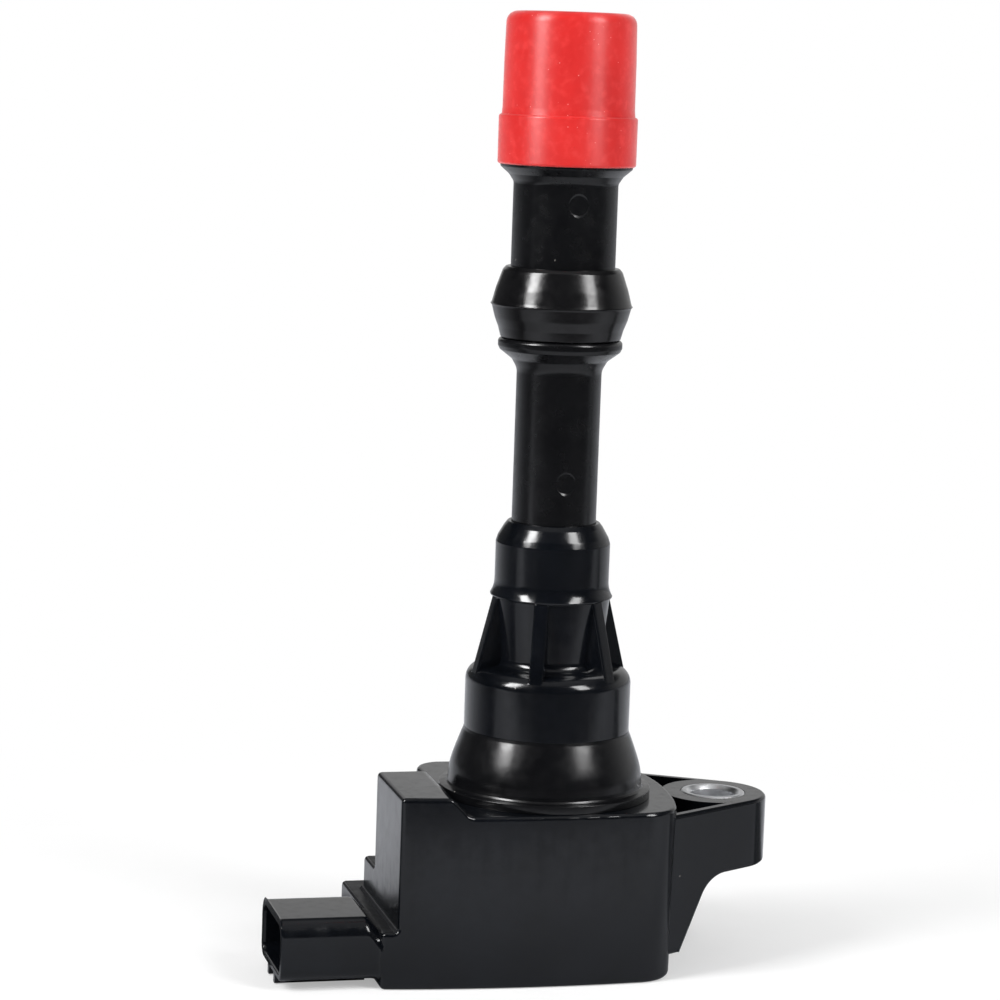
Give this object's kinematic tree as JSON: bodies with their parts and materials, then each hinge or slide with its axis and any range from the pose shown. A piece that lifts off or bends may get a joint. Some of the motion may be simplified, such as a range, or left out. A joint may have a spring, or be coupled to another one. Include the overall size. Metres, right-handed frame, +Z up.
{
  "type": "ignition coil",
  "caption": "Coil-on-plug ignition coil: moulded block with side connector and bolt ear, ribbed high-tension tower, stalk tube with sealing ring, and a red silicone spark plug boot.",
  "frame": {"origin": "on the stalk and plug axis, in the plane of the block's potted base", "axes": "+Z up the stalk towards the open end of the boot, +X towards the bolt ear, -X towards the connector's mouth"},
  "size_m": [0.0757, 0.0373, 0.1378],
  "materials": {
    "case_plastic": "satin moulded, blue-black",
    "seal_rubber": "smooth gloss",
    "bush_metal": "turned, bright",
    "potting_resin": "cast, slightly glossy",
    "laminated_steel": "stacked laminations",
    "magnet": "ground",
    "buffer_rubber": "matte",
    "bobbin_plastic": "natural moulded",
    "copper_wire": "enamelled wire",
    "fine_copper_wire": "fine enamelled wire",
    "igniter_package": "moulded package",
    "spreader_metal": "rolled",
    "lead_metal": "tinned",
    "strap_metal": "stamped",
    "pin_metal": "tinned",
    "terminal_brass": "turned",
    "resistor_ceramic": "glazed ceramic",
    "tube_plastic": "satin moulded",
    "ring_rubber": "smooth gloss",
    "spring_steel": "drawn wire",
    "contact_steel": "plated",
    "boot_silicone": "soft satin silicone"
  },
  "bodies": {
    "coil": {"coil_case": "case_plastic", "base_seal": "seal_rubber", "mounting_bush": "bush_metal", "potting_epoxy": "potting_resin", "core_leg": "laminated_steel", "core_yoke": "laminated_steel", "bias_magnet": "magnet", "core_buffer": "buffer_rubber", "primary_bobbin": "bobbin_plastic", "primary_winding": "copper_wire", "secondary_bobbin": "bobbin_plastic", "secondary_winding": "fine_copper_wire", "igniter_module": "igniter_package", "heat_spreader": "spreader_metal", "igniter_lead_1": "lead_metal", "igniter_lead_2": "lead_metal", "igniter_lead_3": "lead_metal", "primary_strap_1": "strap_metal", "primary_strap_2": "strap_metal", "connector_pin_1": "pin_metal", "connector_pin_2": "pin_metal", "connector_pin_3": "pin_metal", "hv_terminal": "terminal_brass", "hv_resistor": "resistor_ceramic", "stalk_tube": "tube_plastic", "seal_ring": "ring_rubber", "contact_spring": "spring_steel"},
    "contact": {"plug_contact": "contact_steel"},
    "boot": {"plug_boot": "boot_silicone"}
  },
  "joints": [
    {"name": "contact_travel", "type": "slide", "parent": "coil", "child": "contact", "axis": [0, 0, -1], "range_m": [0, 0.005], "stiffness_N_per_m": 500, "deforming": ["contact_spring"]},
    {"name": "boot_pull_off", "type": "slide", "parent": "coil", "child": "boot", "axis": [0, 0, 1], "range_m": [0, 0.03]}
  ]
}
